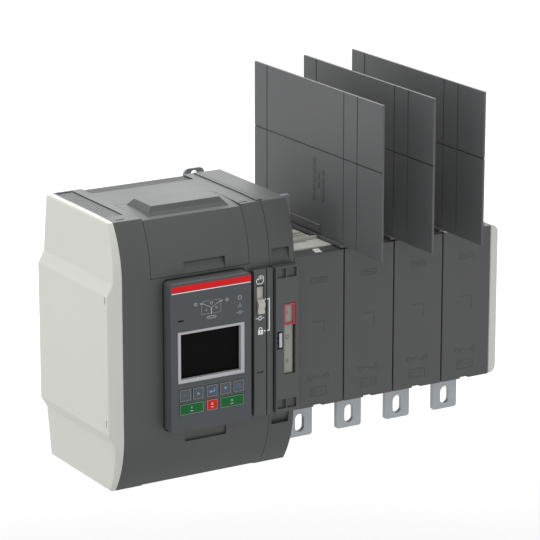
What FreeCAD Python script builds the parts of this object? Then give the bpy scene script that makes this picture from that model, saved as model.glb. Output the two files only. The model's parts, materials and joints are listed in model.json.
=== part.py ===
import FreeCAD, Part
import math
import os

# Four-pole automatic transfer switch for a 250 A change-over between two supplies.
# Millimetres, +X to the right, +Y into the panel, +Z up. The origin is the centre of
# the four mounting holes, on the plane that the back frame bolts to.

V = FreeCAD.Vector

# ---- Driving dimensions ----
HOLE_SPACING_X = 205.0      # mounting holes, left to right
HOLE_SPACING_Z = 214.0      # mounting holes, bottom to top
HOLE_R = 3.4
EAR_WIDTH = 20.0
EAR_TOP = 112.3
FRAME_T = 2.5               # sheet thickness of the back frame

POLES = 4
PITCH = 50.0
ROW_OFFSET = 11.0           # the row of poles sits this far right of the holes' centre
ROW_LEFT = ROW_OFFSET - POLES * PITCH / 2    # left side of pole 1
ROW_RIGHT = ROW_LEFT + POLES * PITCH
POLE_GAP = 0.3              # each pole stays this far inside its pitch
POLE_FRONT = -131.0         # front of the cream pole case
COVER_FRONT = -146.6        # front of the dark pole cover
COVER_TOP = 64.8
COVER_BOTTOM = -69.9
DECK_TOP = 64.6             # ribbed top of a pole case, behind its lip
SHOULDER_TOP = 65.5
LIP_TOP = 68.0
CASE_BOTTOM = -66.0

SHAFT_Y = -76.0             # main shaft axis runs along X at this depth
SHAFT_Z = 0.0
SHAFT_R = 9.0
HALF_THROW = 35.0           # degrees from upright to either supply
BLADE_R = 45.0
BLADE_T = 5.0

TERMINAL_W = 25.0
TERMINAL_T = 4.0
SOURCE_ONE_Y = -115.8       # front face of the front source terminals
LOAD_TOP = 98.7
LOAD_T = 5.0
SOURCE_BOTTOM = -106.3
SLOT_W = 9.0
SLOT_L = 16.0
SLOT_INSET = 12.3           # terminal end to the middle of its slot

BARRIER_T = 2.0
BARRIER_FRONT = -204.7
BARRIER_BOTTOM = 67.5
BARRIER_TOP = 199.4
BARRIER_BREAK_Z = 142.4
BARRIER_BREAKS_Y = (-20.9, -145.4, -166.4)

MECH_RIGHT = ROW_LEFT       # the mechanism stands against pole 1
MECH_SEAM = MECH_RIGHT - 24.0       # joint between the two dark shells
PANEL_SEAM = MECH_RIGHT - 23.0      # joint between the selector strip and the drive panel
MECH_LEFT = MECH_RIGHT - 162.0
SIDE_LEFT = MECH_RIGHT - 176.0
MECH_FRONT = -147.0
MECH_BACK = -24.0
MECH_TOP = 114.0
MECH_BOTTOM = -116.5
FLAT_HALF = 65.0            # half height of the flat front, between the two round shoulders
SHOULDER_R = 88.0
SLOPE_Y = -95.0             # in front of here the top curves down a little towards its crest
SHELL_DROP = 0.8            # how far it falls on the shells
FLAP_DROP = 2.3             # and on the flap
WALL = 2.5

FLAP_LEFT = MECH_RIGHT - 135.6
FLAP_RIGHT = MECH_RIGHT - 43.6
FLAP_BACK = -86.6
FLAP_BOTTOM = 65.5
FLAP_GAP = 0.35

HMI_LEFT = MECH_RIGHT - 124.0
HMI_RIGHT = MECH_RIGHT - 48.0
HMI_TOP = 62.0
HMI_BOTTOM = -66.0
HMI_FRONT = -159.0
HMI_BACK = MECH_FRONT - 0.3
HMI_CORNER_R = 3.5

SELECTOR_LEFT = MECH_RIGHT - 42.3
SELECTOR_FRONT = -153.0
DRIVE_FRONT = -156.0

CRANK_ARM = 21.0 / math.tan(math.radians(HALF_THROW))   # gives the plunger a 42 mm stroke
HALF_STROKE = 21.0
PLUNGER_X = PANEL_SEAM      # axis of the two solenoids
PLUNGER_Y = SHAFT_Y - CRANK_ARM

POLE_CENTRES = [ROW_LEFT + PITCH * (i + 0.5) for i in range(POLES)]


# ---- Shape helpers ----
def box(x0, x1, y0, y1, z0, z1):
    return Part.makeBox(x1 - x0, y1 - y0, z1 - z0, V(x0, y0, z0))


def rod_x(y, z, r, x0, x1):
    return Part.makeCylinder(r, x1 - x0, V(x0, y, z), V(1, 0, 0))


def rod_y(x, z, r, y0, y1):
    return Part.makeCylinder(r, y1 - y0, V(x, y0, z), V(0, 1, 0))


def rod_z(x, y, r, z0, z1):
    return Part.makeCylinder(r, z1 - z0, V(x, y, z0), V(0, 0, 1))


def prism(points, direction):
    wire = Part.makePolygon(points + [points[0]])
    return Part.Face(wire).extrude(direction)


def prism_x(yz, x0, x1):
    return prism([V(x0, y, z) for y, z in yz], V(x1 - x0, 0, 0))


def prism_y(xz, y0, y1):
    return prism([V(x, y0, z) for x, z in xz], V(0, y1 - y0, 0))


def prism_z(xy, z0, z1):
    return prism([V(x, y, z0) for x, y in xy], V(0, 0, z1 - z0))


def join(*shapes):
    whole = shapes[0].multiFuse(list(shapes[1:]))
    return whole.removeSplitter()


def soften(shape, radius, chosen):
    """Round every edge that chosen(edge) picks."""
    edges = [e for e in shape.Edges if chosen(e)]
    return shape.makeFillet(radius, edges) if edges else shape


def bevel(shape, size, chosen):
    edges = [e for e in shape.Edges if chosen(e)]
    return shape.makeChamfer(size, edges) if edges else shape


def along(edge, axis):
    """True when a straight edge runs along the named axis."""
    if not isinstance(edge.Curve, Part.Line):
        return False
    direction = edge.Curve.Direction
    return abs(abs(getattr(direction, axis)) - 1.0) < 1e-6


def at_y(edge, y):
    return abs(edge.BoundBox.YMin - y) < 1e-4 and abs(edge.BoundBox.YMax - y) < 1e-4


def rounded_plate(x0, x1, y0, y1, z0, z1, r):
    """A block with its four edges along Y rounded."""
    return soften(box(x0, x1, y0, y1, z0, z1), r, lambda e: along(e, "y"))


def long_hole(x, z, width, length, y0, y1):
    """A slot through Y with round ends, upright."""
    reach = (length - width) / 2
    middle = box(x - width / 2, x + width / 2, y0, y1, z - reach, z + reach)
    ends = [rod_y(x, z + s * reach, width / 2, y0, y1) for s in (-1, 1)]
    return join(middle, *ends)


def mech_profile(inset, x0, x1, drop=SHELL_DROP):
    """The mechanism's side profile, moved in by inset and drawn out from x0 to x1."""
    r = SHOULDER_R - inset
    front = MECH_FRONT + inset
    centre_y = MECH_FRONT + SHOULDER_R
    top = MECH_TOP - inset
    bottom = MECH_BOTTOM + inset

    def on_shoulder(z):
        rise = abs(z) - FLAT_HALF
        return V(x0, centre_y - math.sqrt(r * r - rise * rise), z)

    crest = on_shoulder(top - drop)
    upper_middle = on_shoulder((FLAT_HALF + crest.z) / 2)
    lower_middle = on_shoulder((bottom - FLAT_HALF) / 2)
    keel = on_shoulder(bottom)
    run = SLOPE_Y - crest.y
    slope_middle = V(x0, SLOPE_Y - run / 2, top - drop / 4)
    upper_flat = V(x0, front, FLAT_HALF)
    lower_flat = V(x0, front, -FLAT_HALF)
    top_back = V(x0, MECH_BACK, top)
    slope_start = V(x0, SLOPE_Y, top)
    bottom_back = V(x0, MECH_BACK, bottom)
    edges = [
        Part.LineSegment(bottom_back, keel).toShape(),
        Part.Arc(keel, lower_middle, lower_flat).toShape(),
        Part.LineSegment(lower_flat, upper_flat).toShape(),
        Part.Arc(upper_flat, upper_middle, crest).toShape(),
        Part.Arc(crest, slope_middle, slope_start).toShape(),
        Part.LineSegment(slope_start, top_back).toShape(),
        Part.LineSegment(top_back, bottom_back).toShape(),
    ]
    return Part.Face(Part.Wire(edges)).extrude(V(x1 - x0, 0, 0))


def save(name, shape):
    solids = shape.Solids
    assert solids and all(s.isValid() and s.Volume > 0 for s in solids), name
    if len(solids) > 1:
        shape = Part.makeCompound(solids)
    else:
        shape = solids[0]
    shape.exportStep("parts/" + name + ".step")
    bb = shape.BoundBox
    size = (round(bb.XLength, 1), round(bb.YLength, 1), round(bb.ZLength, 1))
    print(name, len(solids), size)


# ---- Back frame and rods ----
def base_frame():
    """Sheet-steel frame behind the poles, with a bolting ear at each corner."""
    half_x = HOLE_SPACING_X / 2 + EAR_WIDTH / 2
    sheet = box(-half_x, half_x, -FRAME_T, 0, -62, 62)
    ears = []
    for sx in (-1, 1):
        middle = sx * HOLE_SPACING_X / 2
        ears.append(box(middle - EAR_WIDTH / 2, middle + EAR_WIDTH / 2, -FRAME_T, 0, -EAR_TOP, EAR_TOP))
    frame = join(sheet, *ears)
    frame = soften(frame, 5.0, lambda e: along(e, "y") and abs(abs(e.BoundBox.ZMin) - EAR_TOP) < 0.1)
    for sx in (-1, 1):
        for sz in (-1, 1):
            x = sx * HOLE_SPACING_X / 2
            z = sz * HOLE_SPACING_Z / 2
            frame = frame.cut(rod_y(x, z, HOLE_R, -FRAME_T - 1, 1))
    for x in (-50, 0, 50):
        frame = frame.cut(rounded_plate(x - 17, x + 17, -FRAME_T - 1, 1, -38, 38, 6))
    return frame


ROD_PLACES = [(-24.0, 46.0), (-24.0, -46.0), (-124.0, 46.0), (-124.0, -46.0)]
ROD_R = 2.5


def tie_rods():
    """Four rods with nuts that clamp the poles together."""
    rods = []
    for y, z in ROD_PLACES:
        shank = rod_x(y, z, ROD_R, ROW_LEFT + 0.2, ROW_RIGHT + 5)
        nut = rod_x(y, z, 4.4, ROW_RIGHT + 0.4, ROW_RIGHT + 4)
        rods.append(join(shank, nut))
    return Part.makeCompound(rods)


def mech_posts():
    """Round posts that carry the mechanism on the back frame."""
    posts = [rod_y(MECH_RIGHT - 12, z, 5.0, MECH_BACK, -FRAME_T) for z in (-52, -26, 26, 52)]
    return Part.makeCompound(posts)


# ---- Poles ----
CHAMBER_Y = (-117.5, -34.5)
CHAMBER_HALF_Z = 54.0
FOOT_ROOM = 1.3
FOOT_Z = 57.5
LIP_Y = (-108.6, -106.4)
DECK_GROOVES = 15
DECK_STEP = 6.2


def pole_case(x):
    """Moulded case of one pole, with the contact chamber and the shaft bore."""
    left = x - PITCH / 2 + POLE_GAP
    right = x + PITCH / 2 - POLE_GAP
    case = box(left, right, POLE_FRONT, -FRAME_T, CASE_BOTTOM, DECK_TOP)
    shoulder = box(left, right, POLE_FRONT + 0.8, LIP_Y[1], DECK_TOP - 1, SHOULDER_TOP)
    lip = box(left + 3.6, right - 3.9, LIP_Y[0], LIP_Y[1], DECK_TOP - 1, LIP_TOP)
    case = join(case, shoulder, lip)
    # both upper edges are let in, so that a barrier's foot fits between two poles
    for a, b in ((left - 1, left + FOOT_ROOM), (right - FOOT_ROOM, right + 1)):
        case = case.cut(box(a, b, POLE_FRONT - 1, FRAME_T, FOOT_Z, 80))
    case = case.cut(box(left + 3, x + 9, LIP_Y[0] - 4, LIP_Y[0], SHOULDER_TOP - 2.5, 80))
    # ribbed deck behind the lip
    for i in range(DECK_GROOVES):
        y = -101.5 + DECK_STEP * i
        if abs(y - SHAFT_Y) > LOAD_T:
            case = case.cut(box(left + 3, right - 3, y - 1.3, y + 1.3, DECK_TOP - 1.0, 80))
    case = case.cut(box(left + 4.5, right - 4.5, CHAMBER_Y[0], CHAMBER_Y[1], -CHAMBER_HALF_Z, CHAMBER_HALF_Z))
    case = case.cut(rod_x(SHAFT_Y, SHAFT_Z, SHAFT_R + 0.6, left - 1, right + 1))
    for y, z in ROD_PLACES:
        case = case.cut(rod_x(y, z, ROD_R + 0.1, left - 1, right + 1))
    half = TERMINAL_W / 2 + 0.2
    back = SOURCE_ONE_Y + TERMINAL_T
    passages = [
        (SOURCE_ONE_Y, TERMINAL_T, -90, -50),
        (2 * SHAFT_Y - back, TERMINAL_T, -90, -50),
        (SHAFT_Y - LOAD_T / 2, LOAD_T, 50, 90),
    ]
    for y0, thick, z0, z1 in passages:
        case = case.cut(box(x - half, x + half, y0 - 0.2, y0 + thick + 0.2, z0, z1))
    return case


CLIP_X = (-1.9, 4.3)        # from the middle of the pole
CLIP_Y = (-144.6, -138.0)


def pole_cover(x):
    """Dark front cover of one pole, hollow behind, with a notch in its lower edge."""
    half = PITCH / 2 - 0.5
    cover = box(x - half, x + half, COVER_FRONT, POLE_FRONT - 0.1, COVER_BOTTOM, COVER_TOP)
    cover = soften(cover, 0.8, lambda e: at_y(e, COVER_FRONT) or along(e, "y"))
    cover = cover.cut(box(x - half + 2.5, x + half - 2.5, COVER_FRONT + 3, POLE_FRONT + 1, -65, 60))
    cover = cover.cut(box(x - 5, x + 4, COVER_FRONT - 1, COVER_FRONT + 4, COVER_BOTTOM - 1, COVER_BOTTOM + 2))
    # shallow seat for the small locking clip on the top edge, and a raised pad beside it
    cover = cover.cut(box(x + CLIP_X[0], x + CLIP_X[1], CLIP_Y[0], CLIP_Y[1], COVER_TOP - 1.2, COVER_TOP + 1))
    pad = box(x + CLIP_X[1] + 1.5, x + half - 4.5, CLIP_Y[0] + 0.5, CLIP_Y[1] + 3, COVER_TOP - 1, COVER_TOP + 0.5)
    return join(cover, pad)


def cover_clips():
    clips = []
    for x in POLE_CENTRES:
        x0 = x + CLIP_X[0] + 0.2
        x1 = x + CLIP_X[1] - 0.2
        front = CLIP_Y[0] + 0.2
        back = CLIP_Y[1] - 0.2
        foot = COVER_TOP - 1.1
        side = [(front, foot), (front, COVER_TOP + 0.1), (back, COVER_TOP + 1.5), (back, foot)]
        clip = prism_x(side, x0, x1)
        clips.append(clip.cut(box(x0 + 2, x1 - 2, -142.3, -140.2, COVER_TOP + 0.1, COVER_TOP + 2)))
    return Part.makeCompound(clips)


def end_cap():
    """Cream cap on the outer side of the last pole, with the shaft's end bearing seat."""
    x1 = ROW_RIGHT + 8
    cap = box(ROW_RIGHT, x1, COVER_FRONT + 0.6, -FRAME_T, COVER_BOTTOM, COVER_TOP)
    cap = soften(cap, 7.0, lambda e: along(e, "y") and e.BoundBox.XMin > x1 - 0.1)
    cap = soften(cap, 1.2, lambda e: at_y(e, COVER_FRONT + 0.6))
    cap = cap.cut(box(ROW_RIGHT - 1, x1 - 2.5, COVER_FRONT + 3.5, -5, COVER_BOTTOM + 4, COVER_TOP - 4))
    seat = rod_x(SHAFT_Y, SHAFT_Z, 15, ROW_RIGHT + 0.2, x1 - 2)
    cap = join(cap, seat)
    return cap.cut(rod_x(SHAFT_Y, SHAFT_Z, 12, ROW_RIGHT, x1 - 2.5))


# ---- Terminals, fixed contacts and the rotor ----
PAD_GAP = 0.3
PAD_T = 4.0


def along_blade(reach, lift):
    """A point at reach along the blade's lower front throw, lifted off its middle plane."""
    a = math.radians(HALF_THROW)
    y = SHAFT_Y - reach * math.sin(a) - lift * math.cos(a)
    z = SHAFT_Z - reach * math.cos(a) + lift * math.sin(a)
    return y, z


FACE = BLADE_T / 2 + PAD_GAP
PAD_INNER = along_blade(30, FACE)
PAD_OUTER = along_blade(46, FACE)
PAD_INNER_BACK = along_blade(30, FACE + PAD_T)
PAD_OUTER_BACK = along_blade(43, FACE + PAD_T)


def mirror_y(points):
    return [(2 * SHAFT_Y - y, z) for y, z in points]


def mirror_z(points):
    return [(y, -z) for y, z in points]


def source_outline():
    """Front source terminal, seen from the side: a straight bar with a tilted contact pad."""
    back = SOURCE_ONE_Y + TERMINAL_T
    return [
        (SOURCE_ONE_Y, SOURCE_BOTTOM), (back, SOURCE_BOTTOM), (back, -46.0),
        PAD_OUTER, PAD_INNER, PAD_INNER_BACK, PAD_OUTER_BACK, (SOURCE_ONE_Y, -43.0),
    ]


def load_outline():
    """Load terminal, seen from the side: one bar above a bridge with two contact pads."""
    bridge = 51.0
    rear_pads = mirror_y(mirror_z([PAD_OUTER, PAD_INNER, PAD_INNER_BACK, PAD_OUTER_BACK]))
    front_pads = mirror_z([PAD_OUTER_BACK, PAD_INNER_BACK, PAD_INNER, PAD_OUTER])
    half = LOAD_T / 2
    arm = abs(PAD_OUTER_BACK[0] - SHAFT_Y)
    arm_in = abs(PAD_OUTER[0] - SHAFT_Y)
    left = [(SHAFT_Y - half, LOAD_TOP), (SHAFT_Y - half, bridge), (SHAFT_Y - arm, bridge)]
    inner_left = [(SHAFT_Y - arm_in, bridge - 3.5)]
    inner_right = [(SHAFT_Y + arm_in, bridge - 3.5)]
    right = [(SHAFT_Y + arm, bridge), (SHAFT_Y + half, bridge), (SHAFT_Y + half, LOAD_TOP)]
    return left + front_pads + inner_left + inner_right + rear_pads + right


def terminal(outline, x, bar_front, end_z):
    """Extrude a side outline to the terminal's width, then pierce and trim the free end."""
    bar = prism_x(outline, x - TERMINAL_W / 2, x + TERMINAL_W / 2)
    trim = 1.5 if end_z < 0 else 0.6
    bar = bevel(bar, trim, lambda e: along(e, "y") and abs(e.BoundBox.ZMin - end_z) < 0.01)
    towards_pole = SLOT_INSET if end_z < 0 else -SLOT_INSET
    slot = long_hole(x, end_z + towards_pole, SLOT_W, SLOT_L, bar_front - 1, bar_front + LOAD_T + 1)
    return bar.cut(slot)


def moving_contacts():
    """One double-ended copper blade for each pole, at rest on supply one."""
    blades = []
    for x in POLE_CENTRES:
        half = TERMINAL_W / 2
        blade = box(x - half, x + half, SHAFT_Y - BLADE_T / 2, SHAFT_Y + BLADE_T / 2, -BLADE_R, BLADE_R)
        blade = join(blade, rod_x(SHAFT_Y, SHAFT_Z, SHAFT_R + 4, x - half, x + half))
        blade = blade.cut(rod_x(SHAFT_Y, SHAFT_Z, SHAFT_R, x - half - 1, x + half + 1))
        blade.rotate(V(0, SHAFT_Y, SHAFT_Z), V(1, 0, 0), -HALF_THROW)
        blades.append(blade)
    return Part.makeCompound(blades)


def arc_plates():
    """Steel plates that split the arc, below and above each blade's path."""
    plates = []
    for x in POLE_CENTRES:
        for y in range(-90, -61, 7):
            plates.append(box(x - 10, x + 10, y - 0.6, y + 0.6, -53.8, -47.5))
    return Part.makeCompound(plates)


BUSH_R = 12.0
PLATE_X = (PANEL_SEAM - 19, PANEL_SEAM - 16.5)    # steel side plate inside the mechanism


def rotor_shaft():
    """Moulded shaft through the mechanism and every pole, with collars that hold each blade."""
    shaft = rod_x(SHAFT_Y, SHAFT_Z, SHAFT_R, PLATE_X[0] - 2, ROW_RIGHT + 5)
    collars = []
    for x in POLE_CENTRES:
        for side in (-1, 1):
            near = x + side * TERMINAL_W / 2
            far = x + side * (TERMINAL_W / 2 + 5)
            collars.append(rod_x(SHAFT_Y, SHAFT_Z, 17, min(near, far), max(near, far)))
    return join(shaft, *collars)


def shaft_bushes():
    bushes = []
    for x0, x1 in ((PLATE_X[0] - 2.5, PLATE_X[1] + 2.5), (ROW_RIGHT + 0.3, ROW_RIGHT + 5.2)):
        bush = rod_x(SHAFT_Y, SHAFT_Z, BUSH_R, x0, x1)
        bushes.append(bush.cut(rod_x(SHAFT_Y, SHAFT_Z, SHAFT_R + 0.05, x0 - 1, x1 + 1)))
    return Part.makeCompound(bushes)


def crank_lever():
    """Slotted lever on the shaft, driven by the plunger's cross pin."""
    x0 = PANEL_SEAM + 8
    x1 = x0 + 4
    hub = rod_x(SHAFT_Y, SHAFT_Z, 14, x0 - 2, x1 + 2)
    arm = box(x0, x1, SHAFT_Y - 40, SHAFT_Y, -8, 8)
    tip = rod_x(SHAFT_Y - 40, 0, 8, x0, x1)
    lever = join(hub, arm, tip)
    lever = lever.cut(rod_x(SHAFT_Y, SHAFT_Z, SHAFT_R, x0 - 5, x1 + 5))
    lever = lever.cut(box(x0 - 1, x1 + 1, SHAFT_Y - 41, SHAFT_Y - 25.5, -4.1, 4.1))
    lever.rotate(V(0, SHAFT_Y, SHAFT_Z), V(1, 0, 0), -HALF_THROW)
    return lever


# ---- Mechanism housing ----
def shell_ring(x0, x1):
    """An open-backed length of the shell."""
    hollow = mech_profile(WALL, x0 - 1, x1 + 1)
    back_opening = box(x0 - 1, x1 + 1, MECH_BACK - 6, MECH_BACK + 1, MECH_BOTTOM + WALL, MECH_TOP - WALL)
    return mech_profile(0, x0, x1).cut(hollow.fuse(back_opening))


def ridge(x0, x1):
    """A low rib over the top, on one side of the joint between the shells."""
    return mech_profile(-RIDGE_H, x0, x1).common(box(x0, x1, -131, MECH_BACK - 2, MECH_TOP - 4, MECH_TOP + 4))


def finger_wedge(x0, x1, z_shallow, z_deep, depth):
    """The space of a finger grip: flush at one end and depth deep at the other."""
    near = MECH_FRONT - 6
    side = [(near, z_shallow), (MECH_FRONT + 0.2, z_shallow), (MECH_FRONT + depth, z_deep), (near, z_deep)]
    return prism_x(side, x0, x1)


def grip_recess(shell, x0, x1, z_shallow, z_deep, depth):
    """Thicken the front wall behind a finger grip, then take the grip out of it."""
    z0, z1 = sorted((z_shallow, z_deep))
    patch = box(x0 - 2, x1 + 2, MECH_FRONT + 2, MECH_FRONT + depth + 2, z0 - 2, z1 + 2)
    patch = patch.common(mech_profile(0.5, x0 - 3, x1 + 3))
    return join(shell, patch).cut(finger_wedge(x0, x1, z_shallow, z_deep, depth))


RIDGE_H = 0.9
LEFT_VENT = (MECH_RIGHT - 160.0, MECH_RIGHT - 144.0, -115.5, MECH_BACK - 2.5)
REAR_VENT = (MECH_RIGHT - 134.5, MECH_RIGHT - 36.5, -42.5, MECH_BACK)
VENT_DEPTH = {LEFT_VENT: 0.4, REAR_VENT: 1.2}     # how far each grille lies under the top
GRILLE_T = 1.3
MOAT = 1.2                  # dark gap in the shell around the operator panel
TOP_SLOTS = ((MECH_RIGHT - 156.5, MECH_RIGHT - 149.0, -127.5), (MECH_RIGHT - 42.0, MECH_RIGHT - 35.0, -128.5))


def control_housing():
    """Dark shell around the controller: the flap, panel and vents are let into it."""
    x1 = MECH_SEAM - 0.2
    shell = shell_ring(MECH_LEFT, x1)
    shell = join(shell, ridge(x1 - 3.0, x1))
    shell = grip_recess(shell, MECH_RIGHT - 104.5, MECH_RIGHT - 65.5, HMI_BOTTOM + 1, -79, 3.2)
    shell = shell.cut(box(FLAP_LEFT - FLAP_GAP, FLAP_RIGHT + FLAP_GAP, -170, FLAP_BACK + FLAP_GAP,
                          FLAP_BOTTOM - FLAP_GAP, 140))
    well = box(HMI_LEFT + 7, HMI_RIGHT - 7, MECH_FRONT - 1, MECH_FRONT + 5, HMI_BOTTOM + 8, HMI_TOP - 10)
    shell = shell.cut(well)
    moat = rounded_plate(HMI_LEFT - MOAT, HMI_RIGHT + MOAT, MECH_FRONT - 1, MECH_FRONT + 1.7,
                         HMI_BOTTOM - MOAT, HMI_TOP + MOAT, HMI_CORNER_R + MOAT)
    moat = moat.cut(rounded_plate(HMI_LEFT + 0.5, HMI_RIGHT - 0.5, MECH_FRONT - 2, MECH_FRONT + 2,
                                  HMI_BOTTOM + 0.5, HMI_TOP - 0.5, HMI_CORNER_R))
    shell = shell.cut(moat)
    for x0, x1v, y0, y1 in (LEFT_VENT, REAR_VENT):
        shell = shell.cut(box(x0, x1v, y0, y1 + (1 if y1 == MECH_BACK else 0), MECH_TOP - WALL - 1, MECH_TOP + 1))
    for x0, x1v, y in TOP_SLOTS:
        shell = shell.cut(box(x0, x1v, y - 0.9, y + 0.9, MECH_TOP - WALL - 2, MECH_TOP + 1))
    # the underside is let in a little between its two borders
    return shell.cut(box(MECH_RIGHT - 137.5, MECH_RIGHT - 30.0, -170, MECH_BACK + 1, MECH_BOTTOM - 1, MECH_BOTTOM + 0.8))


def vent_grilles():
    """Slatted inserts in the two vent openings on top."""
    grilles = []
    for vent in (LEFT_VENT, REAR_VENT):
        x0, x1, y0, y1 = vent
        upper = MECH_TOP - VENT_DEPTH[vent]
        grille = box(x0, x1, y0, y1, upper - GRILLE_T, upper)
        count = int((y1 - y0) / 4.0)
        step = (y1 - y0) / count
        for i in range(count):
            y = y0 + step * (i + 0.5)
            grille = grille.cut(box(x0 + 1, x1 - 1, y - 1.2, y + 1.2, upper - 3, upper + 1))
        grilles.append(grille)
    return Part.makeCompound(grilles)


WINDOW_X = (MECH_RIGHT - 14.8, MECH_RIGHT - 3.9)
WINDOW_Z = (-32.9, 28.8)
BAR_X = (MECH_RIGHT - 19.3, MECH_RIGHT - 16.5)
BAR_Z = (-8.8, 3.8)


def drive_housing():
    """Dark shell around the drive, closed on the side that meets pole 1."""
    x0 = MECH_SEAM + 0.2
    x1 = MECH_RIGHT - 0.1
    shell = shell_ring(x0, x1)
    shell = join(shell, mech_profile(0, x1 - WALL, x1), ridge(x0, x0 + 2.6))
    for z_shallow, z_deep in ((64.5, 75), (-69.0, -78.5)):
        shell = grip_recess(shell, MECH_RIGHT - 21.5, MECH_RIGHT - 4.8, z_shallow, z_deep, 4.5)
    shell = shell.cut(rod_x(SHAFT_Y, SHAFT_Z, SHAFT_R + 1, x1 - WALL - 1, x1 + 1))
    shell = shell.cut(box(WINDOW_X[0], WINDOW_X[1], MECH_FRONT - 1, MECH_FRONT + 3, *WINDOW_Z))
    shell = shell.cut(box(BAR_X[0] - 0.4, BAR_X[1] + 0.4, MECH_FRONT - 1, MECH_FRONT + 3, BAR_Z[0] - 0.4, BAR_Z[1] + 0.4))
    return shell


def side_cover():
    """Cream end cover: the same side profile, with a raised middle between two slopes."""
    right = MECH_LEFT - 0.1
    outline = [
        (right, MECH_BOTTOM), (right, MECH_TOP), (MECH_RIGHT - 167.0, MECH_TOP),
        (MECH_RIGHT - 170.5, 66.0), (SIDE_LEFT, 56.0), (SIDE_LEFT, -62.0),
        (MECH_RIGHT - 170.5, -72.0), (MECH_RIGHT - 167.0, MECH_BOTTOM),
    ]
    blank = prism_y(outline, MECH_FRONT - 1, MECH_BACK)
    blank = soften(blank, 2.4, lambda e: along(e, "y") and e.BoundBox.XMax < right - 1)
    outer = blank.common(mech_profile(0, SIDE_LEFT - 1, right))
    outer = soften(outer, 1.2, lambda e: e.BoundBox.XMax < right - 0.5 and not along(e, "y")
                   and e.BoundBox.YMax < SLOPE_Y - 1)
    hollow = [(x + (3.0 if x < right else 1.0), z * 0.974) for x, z in outline]
    inner = prism_y(hollow, MECH_FRONT - 1, MECH_BACK + 1).common(
        mech_profile(3.0, SIDE_LEFT - 1, right + 2))
    inner = inner.common(box(SIDE_LEFT, right + 3, MECH_FRONT, MECH_BACK - 2.5, -200, 200))
    cover = outer.cut(inner)
    for z in (52.5, -52.5):
        cover = cover.cut(box(SIDE_LEFT - 1, SIDE_LEFT + 4, -143.5, -142.3, z - 3, z + 3))
    return cover


def rear_plate():
    """Flat back of the mechanism, set inside the shells."""
    plate = box(MECH_LEFT + 0.3, MECH_RIGHT - WALL - 0.4, MECH_BACK - 2.7, MECH_BACK - 0.2,
                MECH_BOTTOM + WALL + 0.3, MECH_TOP - WALL - 0.3)
    for z in (-52, -26, 26, 52):
        plate = plate.cut(rod_y(MECH_RIGHT - 12, z, 2.2, MECH_BACK - 5, MECH_BACK + 1))
    for x in (MECH_LEFT + 45, MECH_LEFT + 75):
        for i in range(8):
            z = -52.5 + 15 * i
            plate = plate.cut(box(x - 11, x + 11, MECH_BACK - 5, MECH_BACK + 1, z - 1.5, z + 1.5))
    return plate


BOSS_X = (MECH_RIGHT - 126.6, MECH_RIGHT - 52.7)


def module_flap():
    """Cover over the option bay: it follows the shell and carries a raised boss on top."""
    piece = mech_profile(0, FLAP_LEFT, FLAP_RIGHT, FLAP_DROP)
    piece = piece.cut(mech_profile(WALL, FLAP_LEFT - 1, FLAP_RIGHT + 1, FLAP_DROP))
    piece = piece.common(box(FLAP_LEFT, FLAP_RIGHT, -170, FLAP_BACK, FLAP_BOTTOM, 140))
    crown = 119.4
    inside = box(FLAP_LEFT + 8, FLAP_RIGHT - 8, -127.0, FLAP_BACK - 2, MECH_TOP - 5.4, MECH_TOP - 2.8)
    inside = inside.common(mech_profile(0.5, FLAP_LEFT, FLAP_RIGHT, FLAP_DROP))
    # the boss rises in two slopes: a shallow one at its foot and a steeper one above
    levels = [(-2.1, -129.6, -87.2, MECH_TOP - 3.0), (1.4, -125.4, -90.6, 115.4), (5.2, -122.5, -93.3, crown)]
    rings = []
    for step, y0, y1, z in levels:
        x0 = BOSS_X[0] + step
        x1 = BOSS_X[1] - step
        corners = [V(x0, y0, z), V(x1, y0, z), V(x1, y1, z), V(x0, y1, z)]
        rings.append(Part.makePolygon(corners + [corners[0]]))
    boss = Part.makeLoft(rings, True, True)
    patch = box(MECH_RIGHT - 107.0, MECH_RIGHT - 64.0, MECH_FRONT + 2, MECH_FRONT + 8, FLAP_BOTTOM, 77.5)
    piece = join(piece, inside, boss, patch)
    return piece.cut(finger_wedge(MECH_RIGHT - 105.0, MECH_RIGHT - 66.0, FLAP_BOTTOM, 75.5, 4.6))


TRAY_X = (FLAP_LEFT + 4, FLAP_RIGHT - 4)


def option_tray():
    """Bay behind the flap that plug-in modules go in: a floor, a back and two sides."""
    x0, x1 = TRAY_X
    outer = mech_profile(3.4, x0, x1, FLAP_DROP).common(box(x0, x1, -170, FLAP_BACK - 3, 78, 107.5))
    inner = box(x0 + 2, x1 - 2, -170, FLAP_BACK - 5, 80, 120)
    return outer.cut(inner)


# ---- Front controls on the drive side ----
KNOB_X = (MECH_RIGHT - 39.4, MECH_RIGHT - 32.4)
KNOB_SLOT_Z = (22.8, 46.9)
THUMB_Z = (23.1, 33.6)


def selector_panel():
    """Raised strip that holds the hand / automatic slider, with a ridge on its right."""
    x1 = PANEL_SEAM - 0.3
    groove_x = MECH_RIGHT - 30.6
    panel = rounded_plate(SELECTOR_LEFT, x1, SELECTOR_FRONT, MECH_FRONT - 0.1, -66.7, 60.5, 1.5)
    panel = soften(panel, 0.7, lambda e: at_y(e, SELECTOR_FRONT))
    panel = panel.cut(box(groove_x, groove_x + 1.1, SELECTOR_FRONT - 1, SELECTOR_FRONT + 1.4, -70, 65))
    panel = panel.cut(box(KNOB_X[0], KNOB_X[1], SELECTOR_FRONT - 1, SELECTOR_FRONT + 3, *KNOB_SLOT_Z))
    panel = panel.cut(box(KNOB_X[0] - 1.2, KNOB_X[1] + 0.6, SELECTOR_FRONT + 1.6, MECH_FRONT + 1, 19, 57))
    panel = panel.cut(box(MECH_RIGHT - 39.8, MECH_RIGHT - 33.4, SELECTOR_FRONT - 1, SELECTOR_FRONT + 1.2, -28.6, -27.2))
    return panel


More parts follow.
